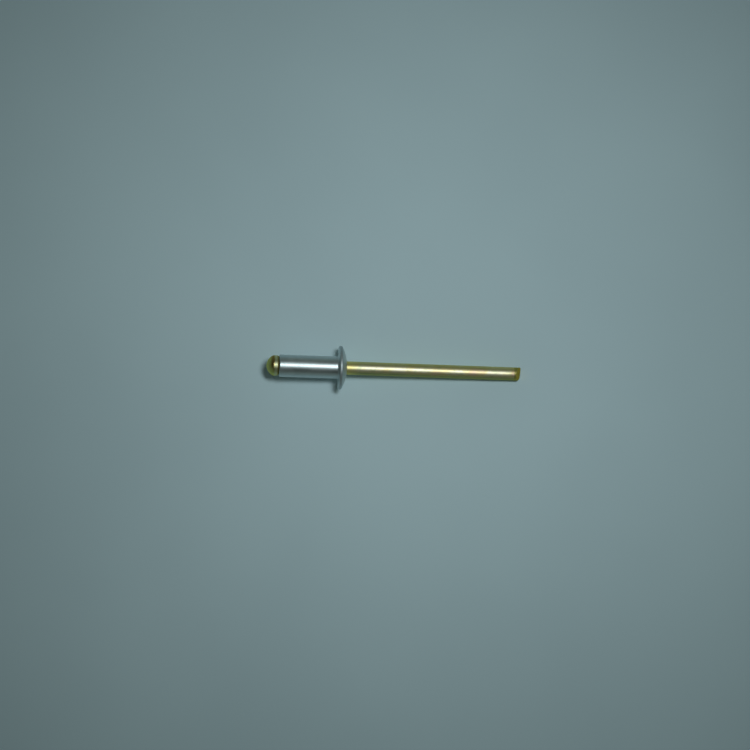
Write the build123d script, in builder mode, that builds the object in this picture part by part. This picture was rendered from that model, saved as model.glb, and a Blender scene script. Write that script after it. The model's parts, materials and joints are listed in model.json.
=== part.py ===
from build123d import *
import math
import os

os.makedirs("parts", exist_ok=True)

# Lengths along the rivet are in millimetres from the flange's seat: toward the tip of the mandrel
# on one side, and toward the blind end of the body on the other.

# Driving dimensions of the body
body_diameter = 4.0
body_length = 10.75
blind_end_rounding = 0.18
flange_diameter = 7.9
flange_rim_height = 0.52
flange_dome_radius = 8.0
flange_rim_rounding = 0.24
seat_fillet = 0.25
bore_clearance = 0.05
bore_mouth_rounding = 0.12
countersink_depth = 0.15
countersink_angle = 90.0

# Driving dimensions of the mandrel
mandrel_diameter = 2.4
mandrel_reach = 33.5
head_diameter = 3.68
head_length = 2.26
head_land_length = 1.03
head_land_draft = 0.04
head_shoulder_rounding = 0.25
head_underside_rounding = 0.32
neck_setback = 1.6
neck_notch_depth = 0.42
neck_notch_angle = 80.0
swell_length = 0.8
swell_clearance = 0.01
upper_cut_setback = 0.5
upper_cut_angle = 28.0
upper_cut_roll = 15.0
lower_cut_angle = 48.0

# Sizes that follow from them
body_radius = body_diameter / 2
flange_radius = flange_diameter / 2
mandrel_radius = mandrel_diameter / 2
head_radius = head_diameter / 2
bore_radius = mandrel_radius + bore_clearance
countersink_slope = math.tan(math.radians(countersink_angle / 2))
countersink_radius = bore_radius + countersink_depth * countersink_slope
dome_centre = flange_rim_height - math.sqrt(flange_dome_radius**2 - flange_radius**2)


def dome_height(radius):
    """Height of the flange's dome above its seat, at a distance from the rivet's axis."""
    return dome_centre + math.sqrt(flange_dome_radius**2 - radius**2)


# The wire was cut by two blades that met off its centre. The upper cut is turned a little about the
# axis and ends in a ridge near the underside. The lower cut runs back from that ridge and faces
# straight down, so the wire is shortest where it touches the floor and does not roll by itself.
ridge_offset = upper_cut_setback / math.tan(math.radians(upper_cut_angle))
lower_cut_height = mandrel_radius - ridge_offset * math.cos(math.radians(upper_cut_roll))
lower_cut_length = lower_cut_height * math.tan(math.radians(lower_cut_angle))

# The rivet lies on the rim of its flange and on the tip of its mandrel, so its axis dips toward
# the tip. The rim touches on its dome side, straight below the centre of the rounding there.
rim_centre_radius = flange_radius - flange_rim_rounding
rim_centre = dome_centre + math.sqrt((flange_dome_radius - flange_rim_rounding) ** 2 - rim_centre_radius**2)
rim_drop = rim_centre_radius - mandrel_radius
tip_distance = mandrel_reach - lower_cut_length - rim_centre
contact_distance = math.hypot(rim_drop, tip_distance)
dip = math.degrees(math.atan2(rim_drop, tip_distance) + math.asin(flange_rim_rounding / contact_distance))

# Half sections are drawn on the upright plane through the axis, with the axis along its own X
section_plane = Plane.XZ.rotated((0, dip, 0))
rivet_axis = Axis(section_plane.origin, section_plane.x_dir)


def corner_at(along_axis, radius):
    """The corner of the half section being drawn that is nearest to a point."""
    return vertices().sort_by_distance((along_axis, radius))[0]


# Rivet body: one headed tube with a domed flange, a through bore and a countersunk blind end
crown_height = dome_height(bore_radius)
crown_angle = math.degrees(math.asin(bore_radius / flange_dome_radius))
rim_angle = math.degrees(math.asin(flange_radius / flange_dome_radius))

with BuildPart() as rivet_body:
    with BuildSketch(section_plane):
        with BuildLine():
            Polyline(
                (crown_height, bore_radius),
                (countersink_depth - body_length, bore_radius),
                (-body_length, countersink_radius),
                (-body_length, body_radius),
                (0, body_radius),
                (0, flange_radius),
                (flange_rim_height, flange_radius),
            )
            CenterArc((dome_centre, 0), flange_dome_radius, crown_angle, arc_size=rim_angle - crown_angle)
        make_face()
        fillet(corner_at(-body_length, body_radius), blind_end_rounding)
        fillet(corner_at(0, body_radius), seat_fillet)
        fillet(corner_at(crown_height, bore_radius), bore_mouth_rounding)
        fillet(corner_at(0, flange_radius), flange_rim_rounding)
        fillet(corner_at(flange_rim_height, flange_radius), flange_rim_rounding)
    revolve(axis=rivet_axis)

rivet_body.part.label = "rivet_body"
export_step(rivet_body.part, "parts/rivet_body.step")

# Mandrel: one headed wire. Its head is a short drum that tapers a little toward the body and has a
# domed end. Under the head, a cone seats in the body's countersink, and a swell at the bore's mouth
# keeps the mandrel in the body.
cone_end = countersink_depth - body_length + bore_clearance / countersink_slope
swell_end = crown_height
swell_start = swell_end - swell_length
swell_middle = (swell_start + swell_end) / 2
land_end = -body_length - head_land_length
head_end = -body_length - head_length
head_dome_height = head_length - head_land_length
head_dome_radius = (head_radius**2 + head_dome_height**2) / (2 * head_dome_height)
head_dome_arc = 2 * math.degrees(math.atan2(head_dome_height, head_radius))
underside_radius = head_radius - head_land_draft

with BuildPart() as mandrel:
    with BuildSketch(section_plane):
        with BuildLine():
            Polyline(
                (mandrel_reach, 0),
                (mandrel_reach, mandrel_radius),
                (swell_end, mandrel_radius),
            )
            ThreePointArc(
                (swell_end, mandrel_radius),
                (swell_middle, bore_radius - swell_clearance),
                (swell_start, mandrel_radius),
            )
            Polyline(
                (swell_start, mandrel_radius),
                (cone_end, mandrel_radius),
                (-body_length, countersink_radius),
                (-body_length, underside_radius),
                (land_end, head_radius),
            )
            CenterArc((head_end + head_dome_radius, 0), head_dome_radius, 180, arc_size=-head_dome_arc)
            Line((head_end, 0), (mandrel_reach, 0))
        make_face()
        fillet(corner_at(-body_length, underside_radius), head_underside_rounding)
        fillet(corner_at(land_end, head_radius), head_shoulder_rounding)
    revolve(axis=rivet_axis)

    # Break neck: two opposed notches, pressed deeper than wide, where the wire snaps when pulled
    neck_place = neck_setback - body_length
    notch_reach = 2 * neck_notch_depth
    notch_half_width = notch_reach * math.tan(math.radians(neck_notch_angle / 2))
    notch_floor = mandrel_radius - neck_notch_depth
    with BuildSketch(section_plane):
        with BuildLine():
            Polyline(
                (neck_place, notch_floor),
                (neck_place - notch_half_width, notch_floor + notch_reach),
                (neck_place + notch_half_width, notch_floor + notch_reach),
                close=True,
            )
        make_face()
        mirror(about=Plane.XZ)
    extrude(amount=mandrel_diameter, both=True, mode=Mode.SUBTRACT)

    # Pinch-cut tip
    along = section_plane.x_dir
    roll = math.radians(upper_cut_roll)
    cut_side = section_plane.y_dir * math.cos(roll) + section_plane.z_dir * math.sin(roll)
    ridge = along * mandrel_reach - cut_side * ridge_offset
    upper_tilt = math.radians(upper_cut_angle)
    upper_normal = along * math.cos(upper_tilt) + cut_side * math.sin(upper_tilt)
    split(bisect_by=Plane(ridge, z_dir=upper_normal), keep=Keep.BOTTOM)
    lower_tilt = math.radians(lower_cut_angle)
    lower_normal = along * math.cos(lower_tilt) - section_plane.y_dir * math.sin(lower_tilt)
    split(bisect_by=Plane(ridge, z_dir=lower_normal), keep=Keep.BOTTOM)

mandrel.part.label = "mandrel"
export_step(mandrel.part, "parts/mandrel.step")
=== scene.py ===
import json
import math

import bmesh
import bpy
from mathutils import Matrix, Vector


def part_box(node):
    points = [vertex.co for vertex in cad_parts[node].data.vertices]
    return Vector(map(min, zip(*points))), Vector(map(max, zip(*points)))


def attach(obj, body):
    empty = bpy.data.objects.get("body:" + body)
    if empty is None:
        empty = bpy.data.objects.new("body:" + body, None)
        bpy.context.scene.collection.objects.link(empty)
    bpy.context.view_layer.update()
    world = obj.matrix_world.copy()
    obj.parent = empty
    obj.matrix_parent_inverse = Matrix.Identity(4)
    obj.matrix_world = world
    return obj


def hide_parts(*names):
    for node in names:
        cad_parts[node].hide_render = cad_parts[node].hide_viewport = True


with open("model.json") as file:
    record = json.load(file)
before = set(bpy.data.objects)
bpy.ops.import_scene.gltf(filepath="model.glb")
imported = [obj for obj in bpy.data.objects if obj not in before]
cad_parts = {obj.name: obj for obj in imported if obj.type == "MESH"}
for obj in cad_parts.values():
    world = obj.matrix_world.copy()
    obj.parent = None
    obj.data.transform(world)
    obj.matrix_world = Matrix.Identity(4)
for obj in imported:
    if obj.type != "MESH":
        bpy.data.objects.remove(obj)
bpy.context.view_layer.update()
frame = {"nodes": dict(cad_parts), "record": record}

# A blind rivet that lies on a pale floor. Shapes are made along the rivet's own axis, from the
# flange's seat, and are laid down at its tilt at the end. Lengths are in metres.
mm = 0.001
mounts = {mount["name"]: mount for mount in frame["record"]["mounts"]}
floor_height = min(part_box(node)[0].z for node in frame["nodes"])

# Sizes of the body
body_radius = mounts["body_shank"]["dims"]["r_mm"] * mm
flange_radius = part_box("rivet_body")[1].y
body_length = 10.75 * mm
blind_end_rounding = 0.18 * mm
rim_height = 0.52 * mm
rim_rounding = 0.24 * mm
flange_dome_radius = 8.0 * mm
seat_fillet = 0.25 * mm
bore_clearance = 0.05 * mm
bore_mouth_rounding = 0.12 * mm
countersink_depth = 0.15 * mm

# Sizes of the mandrel
mandrel_radius = mounts["pulling_stem"]["dims"]["r_mm"] * mm
head_radius = 1.84 * mm
mandrel_reach = 33.5 * mm
head_length = 2.26 * mm
head_land_length = 1.03 * mm
head_land_draft = 0.04 * mm
head_shoulder_rounding = 0.25 * mm
head_underside_rounding = 0.32 * mm
neck_setback = 1.6 * mm
neck_notch_depth = 0.42 * mm
neck_notch_angle = math.radians(80)
swell_length = 0.8 * mm
swell_clearance = 0.01 * mm
upper_cut_setback = 0.5 * mm
upper_cut_angle = math.radians(28)
upper_cut_roll = math.radians(15)
lower_cut_angle = math.radians(48)
cut_edge_rounding = 0.06 * mm

# Sizes that follow from them
bore_radius = mandrel_radius + bore_clearance
countersink_radius = bore_radius + countersink_depth  # its sides slope at 45 degrees
dome_centre = rim_height - math.sqrt(flange_dome_radius**2 - flange_radius**2)
swell_end = dome_centre + math.sqrt(flange_dome_radius**2 - bore_radius**2)

# Fineness of the meshes
turn_steps = 128
flange_dome_steps = 28
head_dome_steps = 24
swell_steps = 10
stem_steps = 12
merge_distance = 0.0002 * mm
cut_tolerance = 0.0005 * mm
neck_tolerance = 0.001 * mm

# The rivet's own axes: X along it toward the mandrel's tip, Y across, Z up from the side it lies on
along = Vector(mounts["pulling_stem"]["axis"]).normalized()
across = Vector((0, 1, 0))
upward = along.cross(across)
dip = math.atan2(-along.z, along.x)
lie_down = Matrix((along, across, upward)).transposed().to_4x4()


# Shapes

def arc(centre, radius, start, end, steps=8):
    """Points of an arc in the half section, between two angles from the rivet's axis in degrees."""
    turn = [math.radians(start + (end - start) * i / steps) for i in range(steps + 1)]
    return [(centre[0] + radius * math.cos(t), centre[1] + radius * math.sin(t)) for t in turn]


def dome_rounding(radius, rounding):
    """Centre of a rounding inside the flange's dome, and the angle at which it meets the dome."""
    place = dome_centre + math.sqrt((flange_dome_radius - rounding) ** 2 - radius**2)
    return (place, radius), math.degrees(math.atan2(radius, place - dome_centre))


def turned(outline, closed):
    """A bmesh of a half section spun about the rivet's axis."""
    shape = bmesh.new()
    points = [shape.verts.new((x, 0, radius)) for x, radius in outline]
    ends = points[1:] + points[:1] if closed else points[1:]
    edges = [shape.edges.new(pair) for pair in zip(points, ends)]
    bmesh.ops.spin(
        shape, geom=points + edges, cent=(0, 0, 0), axis=(1, 0, 0),
        angle=math.tau, steps=turn_steps, use_merge=True,
    )
    bmesh.ops.remove_doubles(shape, verts=shape.verts, dist=merge_distance)
    bmesh.ops.recalc_face_normals(shape, faces=shape.faces)
    return shape


def rivet_body_shape():
    """The headed tube, with its bore, countersunk blind end and domed flange."""
    mouth, mouth_angle = dome_rounding(bore_radius + bore_mouth_rounding, bore_mouth_rounding)
    rim, rim_angle = dome_rounding(flange_radius - rim_rounding, rim_rounding)
    blind_end = (blind_end_rounding - body_length, body_radius - blind_end_rounding)
    seat_side = (rim_rounding, flange_radius - rim_rounding)
    outline = arc(mouth, bore_mouth_rounding, mouth_angle, -90)
    outline += [(countersink_depth - body_length, bore_radius), (-body_length, countersink_radius)]
    outline += arc(blind_end, blind_end_rounding, 180, 90)
    outline += arc((-seat_fillet, body_radius + seat_fillet), seat_fillet, -90, 0)
    outline += arc(seat_side, rim_rounding, 180, 90)
    outline += arc(rim, rim_rounding, 90, rim_angle)
    dome = arc((dome_centre, 0), flange_dome_radius, rim_angle, mouth_angle, flange_dome_steps)
    return turned(outline + dome[1:-1], closed=True)


def mandrel_outline():
    """The headed wire before its neck is pinched and its tip is cut."""
    dome_height = head_length - head_land_length
    dome_radius = (head_radius**2 + dome_height**2) / (2 * dome_height)
    dome_middle = dome_radius - body_length - head_length
    inset = head_radius - head_shoulder_rounding
    shoulder_reach = math.sqrt((dome_radius - head_shoulder_rounding) ** 2 - inset**2)
    shoulder = (dome_middle - shoulder_reach, inset)
    shoulder_angle = 180 - math.degrees(math.atan2(inset, shoulder_reach))
    underside_radius = head_radius - head_land_draft
    underside = (-body_length - head_underside_rounding, underside_radius - head_underside_rounding)
    neck = neck_setback - body_length
    notch = neck_notch_depth * math.tan(neck_notch_angle / 2)
    outline = arc((dome_middle, 0), dome_radius, 180, shoulder_angle, head_dome_steps)
    outline += arc(shoulder, head_shoulder_rounding, shoulder_angle, 90)[1:]
    outline += arc(underside, head_underside_rounding, 90, 0)
    outline += [(-body_length, countersink_radius)]
    outline += [(countersink_depth - body_length + bore_clearance, mandrel_radius)]
    outline += [(neck + offset, mandrel_radius) for offset in (-notch, 0, notch)]
    for i in range(swell_steps + 1):
        share = i / swell_steps
        rise = (bore_clearance - swell_clearance) * math.sin(math.pi * share) ** 2
        outline.append((swell_end - swell_length * (1 - share), mandrel_radius + rise))
    stem_length = mandrel_reach - swell_end
    stem_places = [swell_end + stem_length * i / stem_steps for i in range(1, stem_steps)]
    outline += [(place, mandrel_radius) for place in stem_places]
    return outline + [(mandrel_reach, mandrel_radius), (mandrel_reach, 0)]


def pinch_neck(shape):
    """Presses the two opposed notches of the break neck into the wire."""
    neck = neck_setback - body_length
    floor = mandrel_radius - neck_notch_depth
    for vert in shape.verts:
        if abs(vert.co.x - neck) < neck_tolerance:
            vert.co.z = max(-floor, min(floor, vert.co.z))


def cut_tip(shape):
    """Shears the wire's end along two planes that meet in a ridge below its middle."""
    top = Vector((0, 0, 1))
    cut_side = Vector((0, -math.sin(upper_cut_roll), math.cos(upper_cut_roll)))
    ridge_offset = upper_cut_setback / math.tan(upper_cut_angle)
    ridge = Vector((mandrel_reach, 0, 0)) - cut_side * ridge_offset
    for side, tilt in ((cut_side, upper_cut_angle), (top, -lower_cut_angle)):
        normal = Vector((math.cos(tilt), 0, 0)) + side * math.sin(tilt)
        everything = shape.verts[:] + shape.edges[:] + shape.faces[:]
        cut = bmesh.ops.bisect_plane(
            shape, geom=everything, dist=cut_tolerance,
            plane_co=ridge, plane_no=normal, clear_outer=True,
        )
        rim = [item for item in cut["geom_cut"] if isinstance(item, bmesh.types.BMEdge)]
        bmesh.ops.contextual_create(shape, geom=rim)
    # Only the two cut faces have more corners than this
    most_other_corners = 8
    end_faces = [face for face in shape.faces if len(face.verts) > most_other_corners]
    sharp = {edge for face in end_faces for edge in face.edges}
    bmesh.ops.bevel(
        shape, geom=list(sharp), offset=cut_edge_rounding, segments=3, profile=0.5,
        affect="EDGES", clamp_overlap=True, material=-1,
    )


def mandrel_shape():
    """The headed and plated wire that the tool pulls."""
    shape = turned(mandrel_outline(), closed=False)
    pinch_neck(shape)
    cut_tip(shape)
    return shape


def place_piece(shape, name, node, material):
    """Lays a finished shape down at the rivet's tilt, in the place of a node of the CAD model."""
    shape.transform(lie_down)
    mesh = bpy.data.meshes.new(name)
    shape.to_mesh(mesh)
    shape.free()
    mesh.shade_smooth()
    mesh.materials.append(material)
    piece = bpy.data.objects.new(name, mesh)
    bpy.context.scene.collection.objects.link(piece)
    piece.modifiers.new("even_shading", "WEIGHTED_NORMAL")
    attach(piece, "root")
    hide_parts(node)


# Finishes. Places in them are in millimetres from the flange's seat, toward the mandrel's tip.

blind_end = -body_length / mm
tip = mandrel_reach / mm


class Signal:
    """A shader socket that Python's operators work on."""

    def __init__(self, tree, socket=None):
        self.tree = tree
        self.socket = socket

    def node(self, kind, settings=None, inputs=None, output=0):
        """Adds a node: its settings are made first, then the values or links of its sockets."""
        made = self.tree.nodes.new(kind)
        for name, value in (settings or {}).items():
            setattr(made, name, value)
        for key, value in (inputs or {}).items():
            if isinstance(value, Signal):
                self.tree.links.new(value.socket, made.inputs[key])
            else:
                made.inputs[key].default_value = value
        return Signal(self.tree, made.outputs[output])

    def math(self, operation, *values):
        return self.node("ShaderNodeMath", {"operation": operation}, dict(enumerate(values)))

    def __add__(self, other):
        return self.math("ADD", self, other)

    def __radd__(self, other):
        return self.math("ADD", other, self)

    def __sub__(self, other):
        return self.math("SUBTRACT", self, other)

    def __rsub__(self, other):
        return self.math("SUBTRACT", other, self)

    def __mul__(self, other):
        return self.math("MULTIPLY", self, other)

    def __rmul__(self, other):
        return self.math("MULTIPLY", other, self)

    def __pow__(self, other):
        return self.math("POWER", self, other)

    def step(self, low, high):
        """Rises smoothly from 0 at one value to 1 at the other."""
        ramp = {"interpolation_type": "SMOOTHSTEP", "clamp": True}
        return self.node("ShaderNodeMapRange", ramp, {0: self, 1: low, 2: high, 3: 0.0, 4: 1.0})

    def axes(self):
        """The three parts of a vector."""
        parts = self.tree.nodes.new("ShaderNodeSeparateXYZ")
        self.tree.links.new(self.socket, parts.inputs[0])
        return [Signal(self.tree, out) for out in parts.outputs]

    def vector(self, x, y, z):
        return self.node("ShaderNodeCombineXYZ", None, {0: x, 1: y, 2: z})

    def noise(self, scale, detail=2.0, roughness=0.5, distortion=0.0):
        """Noise from 0 to 1 over this vector."""
        sockets = {"Vector": self, "Scale": scale, "Detail": detail, "Roughness": roughness,
                   "Distortion": distortion}
        return self.node("ShaderNodeTexNoise", None, sockets)

    def tint(self, share, first, second):
        """Goes from one colour to another with a share from 0 to 1."""
        return self.node("ShaderNodeMix", {"data_type": "RGBA"}, {0: share, 6: first, 7: second}, 2)


def new_finish(name):
    """A new material, the signal that its nodes are added to, and its shader."""
    material = bpy.data.materials.new(name)
    material.use_nodes = True
    signal = Signal(material.node_tree)
    shader = material.node_tree.nodes["Principled BSDF"]
    return material, signal, shader


def rivet_millimetres(signal):
    """Places on the piece in millimetres, along the rivet's own axes."""
    place = signal.node("ShaderNodeTexCoord", output=3)
    turn = {"Vector": place, "Rotation": (0, -dip, 0), "Scale": (1 / mm, 1 / mm, 1 / mm)}
    return signal.node("ShaderNodeMapping", {"vector_type": "POINT"}, turn)


def connect(signal, shader, sockets):
    """Links what changes over a surface to its shader, and sets what does not."""
    for name, value in sockets.items():
        if isinstance(value, Signal):
            signal.tree.links.new(value.socket, shader.inputs[name])
        else:
            shader.inputs[name].default_value = value


def relief(signal, height, depth):
    """A bump of a depth in metres."""
    sockets = {"Strength": 1.0, "Distance": depth, "Height": height}
    return signal.node("ShaderNodeBump", None, sockets)


def drawn_aluminium():
    """Bright aluminium, drawn along the tube and pressed into the flange, lightly scuffed."""
    cool_grey = (0.50, 0.59, 0.60, 1)
    pale_grey = (0.57, 0.65, 0.66, 1)
    line_grey = (0.54, 0.55, 0.55, 1)
    pit_grey = (0.34, 0.35, 0.36, 1)
    rim_shade_grey = (0.40, 0.46, 0.48, 1)
    material, signal, shader = new_finish("drawn_aluminium")
    place = rivet_millimetres(signal)
    x, y, z = place.axes()
    radius = (y * y + z * z) ** 0.5
    draw_lines = signal.vector(x * 0.10, y * 7, z * 7).noise(1.0, 4.0, 0.6)
    press_rings = signal.vector(radius * 9, x * 0.4, 0.0).noise(1.0, 3.0, 0.6)
    on_flange = x.step(-0.3, 0.1)
    on_dome = x.step(0.0, 0.2)
    grain = draw_lines + on_flange * (press_rings - draw_lines)
    patches = place.noise(0.55, 3.0, 0.6, 0.6).step(0.35, 0.7)
    scuffs = place.noise(2.6, 5.0, 0.7, 1.6).step(0.56, 0.72)
    pits = place.noise(7.0, 2.0, 0.5).step(0.70, 0.78)
    colour = patches.tint(patches, cool_grey, pale_grey)
    colour = colour.tint(grain.step(0.35, 0.75) * 0.35, colour, line_grey)
    colour = colour.tint(pits * 0.5, colour, pit_grey)
    # Painted shade: the flange's rim is darkened to dim its highlight.
    rim_painted_shade = on_dome * (0 - x).step(-0.7, -0.4)
    colour = colour.tint(rim_painted_shade * 0.6, colour, rim_shade_grey)
    roughness = 0.40 + patches * 0.04 + scuffs * 0.07 + on_dome * 0.12 + (grain - 0.5) * 0.14
    connect(signal, shader, {
        "Metallic": 1.0,
        "Base Color": colour,
        "Roughness": roughness,
        "Normal": relief(signal, grain + scuffs * 0.35 - pits * 0.8, 0.004 * mm),
    })
    return material


def plated_steel():
    """Steel wire with yellow passivated zinc, whose colour drifts from gold to olive and rose."""
    gold = (0.86, 0.74, 0.34, 1)
    straw = (0.87, 0.81, 0.60, 1)
    sage = (0.64, 0.68, 0.42, 1)
    rose = (0.86, 0.62, 0.52, 1)
    side_shade_brass = (0.54, 0.49, 0.15, 1)
    front_shade_olive = (0.25, 0.29, 0.13, 1)
    bright_gold = (0.84, 0.74, 0.26, 1)
    head_green = (0.52, 0.58, 0.40, 1)
    seam_shade_brown = (0.30, 0.24, 0.07, 1)
    dome_olive = (0.46, 0.47, 0.14, 1)
    dark_reflection_brown = (0.26, 0.13, 0.05, 1)
    cut_shade_olive = (0.40, 0.36, 0.08, 1)
    sheared_bronze = (0.50, 0.33, 0.05, 1)
    material, signal, shader = new_finish("yellow_plated_steel")
    place = rivet_millimetres(signal)
    x, y, z = place.axes()
    radius = (y * y + z * z) ** 0.5
    draw_lines = signal.vector(x * 0.08, y * 8, z * 8).noise(1.0, 4.0, 0.6)
    film = signal.vector(x * 0.30, y * 0.6, z * 0.6).noise(1.0, 3.0, 0.55, 0.4)
    blotches = place.noise(1.3, 4.0, 0.6, 0.8)
    scuffs = place.noise(3.1, 5.0, 0.7, 1.8).step(0.57, 0.74)
    colour = film.tint(film.step(0.36, 0.58), gold, straw)
    colour = colour.tint(blotches.step(0.48, 0.66) * 0.7, colour, sage)
    colour = colour.tint((1 - film).step(0.54, 0.68) * 0.7, colour, rose)
    # Painted shade: the stem's sides, which the camera sees edge-on from above, are darker and more
    # olive.
    painted_side_shade = (y * y) ** 0.5 + 0.3 * film
    colour = colour.tint(painted_side_shade.step(0.45, 0.95) * 0.65, colour, side_shade_brass)
    # Painted shade: the stem's front side, away from the softbox, is darkened as if it mirrored the
    # rivet's shadow on the floor.
    painted_front_shade = (0.3 * film - y).step(0.75, 1.10)
    colour = colour.tint(painted_front_shade * 0.75, colour, front_shade_olive)
    by_flange = (0 - x).step(-4.2, -1.8)
    colour = colour.tint(by_flange * 0.55, colour, bright_gold)
    on_head = (0 - x).step(-0.05 - blind_end, 0.05 - blind_end)
    colour = colour.tint(on_head * 0.75, colour, head_green)
    # Painted shade: the head's underside edge by the body's end is darkened, which narrows its
    # highlight.
    painted_seam_shade = x.step(blind_end - 0.5, blind_end - 0.2) * on_head
    colour = colour.tint(painted_seam_shade * 0.85, colour, seam_shade_brown)
    on_dome = (0 - x).step(0.65 - blind_end, 1.05 - blind_end)
    colour = colour.tint(on_dome * 0.85, colour, dome_olive)
    # Painted reflection: a dark crescent on the back side of the head's dome, near its shoulder,
    # stands in for the dark room it mirrors.
    painted_dark_reflection = on_dome * x.step(blind_end - 1.65, blind_end - 1.25) * y.step(-0.7, 0.3)
    colour = colour.tint(painted_dark_reflection * 0.75, colour, dark_reflection_brown)
    sheared = (mandrel_radius / mm - radius).step(0.02, 0.09) * x.step(tip - 2.5, tip - 2.3)
    shear_lines = signal.vector(y * 14, x * 3, z * 3).noise(1.0, 3.0, 0.6)
    # Painted shade: the stem is darkened just before the cut, which ends its highlight short of the
    # facets.
    painted_cut_shade = x.step(tip - 1.55, tip - 1.35)
    colour = colour.tint(painted_cut_shade * 0.8, colour, cut_shade_olive)
    colour = colour.tint(sheared * 0.9, colour, sheared_bronze)
    grain = draw_lines + sheared * (shear_lines * 3 - draw_lines)
    connect(signal, shader, {
        "Metallic": 1.0,
        "Specular Tint": (0.95, 0.92, 0.50, 1),
        "Base Color": colour,
        "Roughness": 0.47 + scuffs * 0.07 + (draw_lines - 0.5) * 0.12 - on_dome * 0.10,
        "Normal": relief(signal, grain + scuffs * 0.4, 0.010 * mm),
    })
    return material


def pale_floor():
    """A matt, cool pale sheet with a faint uneven tone."""
    darker_tone = (0.64, 0.84, 0.90, 1)
    lighter_tone = (0.68, 0.89, 0.95, 1)
    material, signal, shader = new_finish("pale_floor")
    place = signal.node("ShaderNodeTexCoord", output=3)
    clouds = place.noise(18.0, 3.0, 0.5)
    grain = place.noise(2600.0, 2.0, 0.6)
    colour = clouds.tint(clouds.step(0.3, 0.7), darker_tone, lighter_tone)
    connect(signal, shader, {
        "Base Color": colour,
        "Specular IOR Level": 0.2,
        "Roughness": 0.7 + grain * 0.1,
        "Normal": relief(signal, grain, 0.006 * mm),
    })
    return material


# The rivet

place_piece(rivet_body_shape(), "turned_body", "rivet_body", drawn_aluminium())
place_piece(mandrel_shape(), "headed_mandrel", "mandrel", plated_steel())

# Floor, light and camera

floor_reach = 3.0  # so that its edge stays out of views from 15 degrees above it or more
floor_shape = bmesh.new()
bmesh.ops.create_grid(floor_shape, x_segments=1, y_segments=1, size=floor_reach)
bmesh.ops.translate(floor_shape, verts=floor_shape.verts, vec=(0, 0, floor_height))
floor_mesh = bpy.data.meshes.new("floor")
floor_shape.to_mesh(floor_mesh)
floor_shape.free()
floor_mesh.materials.append(pale_floor())
floor = bpy.data.objects.new("floor", floor_mesh)
bpy.context.scene.collection.objects.link(floor)

# A softbox that faces the rivet's middle, leaning to the right and back from straight above it
softbox_target = Vector((12 * mm, 5 * mm, 0))
softbox_distance = 300 * mm
softbox_lean_right = math.radians(8.5)
softbox_lean_back = math.radians(9.0)

lamp = bpy.data.lights.new("main_softbox", "AREA")
lamp.shape = "RECTANGLE"
lamp.size = 66 * mm
lamp.size_y = 42 * mm
lamp.spread = math.radians(60)
lamp.energy = 0.0312
lamp.color = (0.93, 1.0, 1.01)
softbox = bpy.data.objects.new("main_softbox", lamp)
to_softbox = Vector((math.tan(softbox_lean_right), math.tan(softbox_lean_back), 1)).normalized()
softbox.location = softbox_target + to_softbox * softbox_distance
softbox.rotation_euler = to_softbox.to_track_quat("Z", "Y").to_euler()
bpy.context.scene.collection.objects.link(softbox)

# A pale studio wall all round, which fades into a dark ceiling. The two heights are sines of angles
# above the floor, here of 16 and 34 degrees.
pale_wall = (0.165, 0.200, 0.182, 1)
dark_ceiling = (0.026, 0.029, 0.026, 1)
wall_top = 0.28
ceiling_edge = 0.56
world = bpy.data.worlds.new("studio")
world.use_nodes = True
room = Signal(world.node_tree)
ceiling = room.node("ShaderNodeTexCoord", output=0).axes()[2].step(wall_top, ceiling_edge)
background = world.node_tree.nodes["Background"]
connect(room, background, {
    "Color": ceiling.tint(ceiling, pale_wall, dark_ceiling),
    "Strength": 1.0,
})
bpy.context.scene.world = world

# The camera looks down at the rivet, less than a degree off straight, and is turned so that the
# rivet slopes a little in the picture
camera_distance = 300 * mm
picture_width = 750
sensor_width = 36
pixels_per_mm = 5.526
camera_target = Vector((6.65 * mm, -1.09 * mm, 0))
camera_turn = math.radians(2.03)
camera_lean = math.radians(-0.66)

camera_data = bpy.data.cameras.new("camera")
camera_data.sensor_width = sensor_width
camera_data.lens = sensor_width * (camera_distance / mm) * pixels_per_mm / picture_width
camera_data.clip_start = 0.01
camera_data.clip_end = 10
camera = bpy.data.objects.new("camera", camera_data)
camera_turning = Matrix.Rotation(camera_lean, 4, "Y") @ Matrix.Rotation(camera_turn, 4, "Z")
camera_raising = Matrix.Translation((0, 0, camera_distance))
camera.matrix_world = Matrix.Translation(camera_target) @ camera_turning @ camera_raising
bpy.context.scene.collection.objects.link(camera)
bpy.context.scene.camera = camera
bpy.context.scene.view_settings.view_transform = "Standard"
